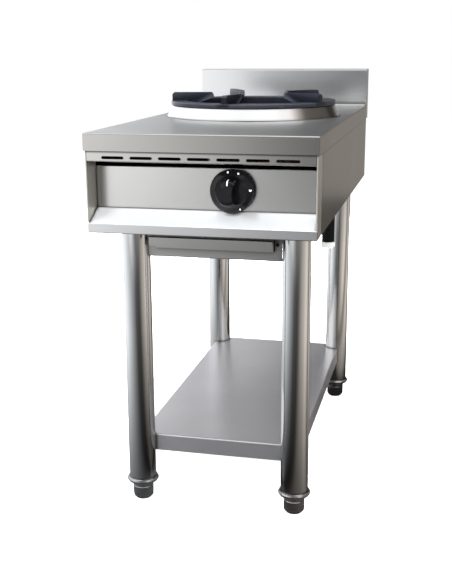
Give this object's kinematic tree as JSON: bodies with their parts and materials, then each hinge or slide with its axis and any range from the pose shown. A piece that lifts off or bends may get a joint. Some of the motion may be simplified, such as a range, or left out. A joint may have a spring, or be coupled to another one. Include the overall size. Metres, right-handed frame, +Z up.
{
  "type": "wok_burner",
  "caption": "Free-standing gas wok burner: steel cabinet on tube legs with cast-iron wok ring, splashback, recessed knob, sliding drip tray, undershelf and levelling feet",
  "frame": {"origin": "On the floor, under the middle of the outline seen from above", "axes": "+Z up, front towards -Y, +X to the right seen from the front"},
  "size_m": [0.4, 0.84, 0.794],
  "materials": {
    "casing_steel": "satin",
    "polished_steel": "polished",
    "cast_iron": "matt",
    "brass": "satin",
    "copper": "satin",
    "black_pipe": "matt",
    "plated_steel": "satin",
    "foot_metal": "satin",
    "black_plastic": "gloss",
    "white_plastic": "matt"
  },
  "bodies": {
    "stand": {"worktop": "casing_steel", "splashback": "casing_steel", "wok_collar": "polished_steel", "side_panel_left": "casing_steel", "side_panel_right": "casing_steel", "front_cheek_left": "casing_steel", "front_cheek_right": "casing_steel", "vent_strip": "casing_steel", "control_panel": "casing_steel", "front_ledge": "casing_steel", "back_panel": "casing_steel", "base_rail_left": "casing_steel", "base_rail_right": "casing_steel", "flame_drum": "casing_steel", "burner_body": "cast_iron", "burner_jets": "brass", "burner_support": "casing_steel", "mixing_tube": "cast_iron", "injector": "brass", "feed_pipe": "brass", "gas_valve": "brass", "valve_pipe": "black_pipe", "supply_elbow": "black_pipe", "supply_pipe": "black_pipe", "inlet_elbow": "black_pipe", "inlet_pipe": "black_pipe", "inlet_locknuts": "plated_steel", "pilot_burner": "brass", "pilot_tube": "copper", "thermocouple": "copper", "leg_front_left": "polished_steel", "leg_front_right": "polished_steel", "leg_back_left": "polished_steel", "leg_back_right": "polished_steel", "leg_plate_front_left": "casing_steel", "leg_plate_front_right": "casing_steel", "leg_plate_back_left": "casing_steel", "leg_plate_back_right": "casing_steel", "foot_socket_front_left": "foot_metal", "foot_socket_front_right": "foot_metal", "foot_socket_back_left": "foot_metal", "foot_socket_back_right": "foot_metal", "leg_bolts": "plated_steel", "undershelf": "casing_steel", "cross_rail_front": "casing_steel", "cross_rail_back": "casing_steel", "tray_runner_left": "casing_steel", "tray_runner_right": "casing_steel"},
    "wok_ring": {"wok_ring": "cast_iron"},
    "drip_tray": {"drip_tray": "casing_steel"},
    "valve_plunger": {"valve_plunger": "plated_steel"},
    "knob": {"knob": "black_plastic", "valve_stem": "plated_steel"},
    "air_shutter": {"air_shutter": "plated_steel"},
    "inlet_plug": {"inlet_plug": "white_plastic"},
    "foot_front_left": {"foot_front_left": "foot_metal"},
    "foot_front_right": {"foot_front_right": "foot_metal"},
    "foot_back_left": {"foot_back_left": "foot_metal"},
    "foot_back_right": {"foot_back_right": "foot_metal"}
  },
  "joints": [
    {"name": "ring_lift", "type": "slide", "parent": "stand", "child": "wok_ring", "axis": [0, 0, 1], "range_m": [0, 0.15]},
    {"name": "tray_slide", "type": "slide", "parent": "stand", "child": "drip_tray", "axis": [0, -1, 0], "range_m": [0, 0.42]},
    {"name": "knob_push", "type": "slide", "parent": "stand", "child": "valve_plunger", "axis": [0, 1, 0], "range_m": [0, 0.004], "stiffness_N_per_m": 2000},
    {"name": "knob_turn", "type": "hinge", "parent": "valve_plunger", "child": "knob", "pos_m": [0.048, -0.38, 0.613], "axis": [0, -1, 0], "range_deg": [0, 175]},
    {"name": "shutter_turn", "type": "hinge", "parent": "stand", "child": "air_shutter", "pos_m": [0, -0.186, 0.597], "axis": [0, 1, 0], "range_deg": [0, 60]},
    {"name": "plug_pull", "type": "slide", "parent": "stand", "child": "inlet_plug", "axis": [0, 0, -1], "range_m": [0, 0.15]},
    {"name": "foot_front_left_screw", "type": "slide", "parent": "stand", "child": "foot_front_left", "axis": [0, 0, -1], "range_m": [0, 0.025]},
    {"name": "foot_front_right_screw", "type": "slide", "parent": "stand", "child": "foot_front_right", "axis": [0, 0, -1], "range_m": [0, 0.025]},
    {"name": "foot_back_left_screw", "type": "slide", "parent": "stand", "child": "foot_back_left", "axis": [0, 0, -1], "range_m": [0, 0.025]},
    {"name": "foot_back_right_screw", "type": "slide", "parent": "stand", "child": "foot_back_right", "axis": [0, 0, -1], "range_m": [0, 0.025]}
  ]
}
